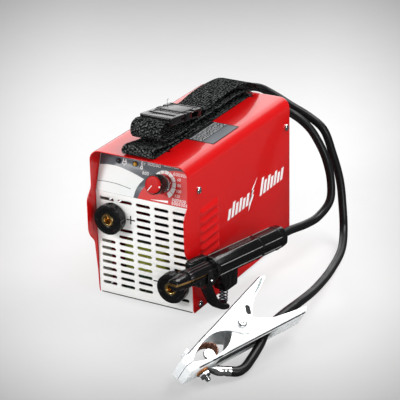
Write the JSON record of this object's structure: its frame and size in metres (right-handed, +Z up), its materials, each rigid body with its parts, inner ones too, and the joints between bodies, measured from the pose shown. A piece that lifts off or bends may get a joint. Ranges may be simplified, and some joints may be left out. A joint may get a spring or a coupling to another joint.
{
  "type": "stick welding inverter",
  "caption": "Portable stick welding inverter with sloping control panel, lead sockets, fan cooling, carrying strap, electrode holder and earth clamp on leads.",
  "frame": {"origin": "on the floor, under the centre of the front left foot", "axes": "+X to the machine's right as seen from the front, +Y from the front panel to the back, +Z up"},
  "size_m": [0.2885, 0.4639, 0.2084],
  "materials": {
    "red_paint": "gloss powder coat",
    "white_paint": "satin powder coat",
    "label_film": "satin printed film",
    "zinc_plate": "bright zinc plate",
    "chrome": "polished",
    "black_rubber": "smooth matte",
    "black_plastic": "moulded sheen",
    "red_plastic": "gloss",
    "dark_lens": "clear gloss",
    "amber_lens": "clear gloss",
    "circuit_board": "satin lacquer",
    "winding_tape": "satin tape",
    "aluminium": "extruded",
    "brass": "machined",
    "copper_braid": "woven copper wire",
    "webbing": "coarse woven"
  },
  "bodies": {
    "inverter": {"cover": "red_paint", "front_panel": "white_paint", "control_label": "label_film", "rear_panel": "white_paint", "base_plate": "zinc_plate", "foot_front_left": "black_rubber", "foot_front_right": "black_rubber", "foot_rear_left": "black_rubber", "foot_rear_right": "black_rubber", "cover_screw_left_upper_front": "zinc_plate", "cover_screw_left_upper_rear": "zinc_plate", "cover_screw_left_lower_front": "zinc_plate", "cover_screw_right_upper_front": "zinc_plate", "cover_screw_right_upper_rear": "zinc_plate", "cover_screw_right_lower_front": "zinc_plate", "potentiometer": "chrome", "power_led": "dark_lens", "fault_led": "amber_lens", "control_board": "circuit_board", "socket_collar_positive": "black_plastic", "socket_collar_negative": "black_plastic", "socket_insert_positive": "brass", "socket_insert_negative": "brass", "main_board": "circuit_board", "transformer": "winding_tape", "output_choke": "winding_tape", "capacitor": "black_plastic", "heat_sink": "aluminium", "fan_frame": "black_plastic", "fan_guard": "zinc_plate", "switch_bezel": "black_plastic", "cord_gland": "black_plastic", "power_cord": "black_rubber", "power_plug": "black_rubber", "strap_base": "webbing", "strap_front_loop": "webbing", "strap_arch": "webbing", "buckle_female": "black_plastic", "holder_handle": "black_plastic", "holder_jaw": "brass", "holder_pin": "zinc_plate", "holder_spring": "zinc_plate", "clamp_lower_arm": "zinc_plate", "clamp_rivet": "zinc_plate", "clamp_spring": "zinc_plate", "clamp_bolt": "zinc_plate", "clamp_lug": "zinc_plate", "clamp_braid": "copper_braid", "holder_cable": "black_rubber", "holder_plug": "black_rubber", "clamp_cable": "black_rubber", "clamp_plug": "black_rubber"},
    "current_knob": {"pot_shaft": "zinc_plate", "knob_skirt": "black_plastic", "knob_cap": "red_plastic"},
    "power_rocker": {"switch_rocker": "red_plastic"},
    "fan": {"fan_rotor": "black_plastic"},
    "squeeze_lever": {"holder_lever": "black_plastic"},
    "clamp_arm": {"clamp_upper_arm": "zinc_plate"},
    "buckle_half": {"buckle_male": "black_plastic"}
  },
  "joints": [
    {"name": "current_dial_turn", "type": "hinge", "parent": "inverter", "child": "current_knob", "pos_m": [0.0705, -0.00923, 0.14533], "axis": [0, 0.9511, -0.309], "range_deg": [0, 280]},
    {"name": "power_switch_rock", "type": "hinge", "parent": "inverter", "child": "power_rocker", "pos_m": [0.018, 0.2005, 0.15], "axis": [-1, 0, 0], "range_deg": [0, 16]},
    {"name": "fan_spin", "type": "hinge", "parent": "inverter", "child": "fan", "pos_m": [0.053, 0.191, 0.085], "axis": [0, 1, 0], "continuous": true},
    {"name": "holder_squeeze", "type": "hinge", "parent": "inverter", "child": "squeeze_lever", "pos_m": [0.12355, -0.01981, 0.05158], "axis": [0.9931, -0.1172, 0], "range_deg": [0, 16], "stiffness_Nm_per_rad": 0.5, "deforming": ["holder_spring"]},
    {"name": "clamp_open", "type": "hinge", "parent": "inverter", "child": "clamp_arm", "pos_m": [0.1908, -0.0735, 0.0309], "axis": [-0.536, 0.2544, -0.805], "range_deg": [0, 20], "stiffness_Nm_per_rad": 1, "deforming": ["clamp_spring", "clamp_braid"]},
    {"name": "buckle_release", "type": "slide", "parent": "inverter", "child": "buckle_half", "axis": [0, -0.9895, 0.1444], "range_m": [0, 0.026], "deforming": ["strap_front_loop"]}
  ]
}
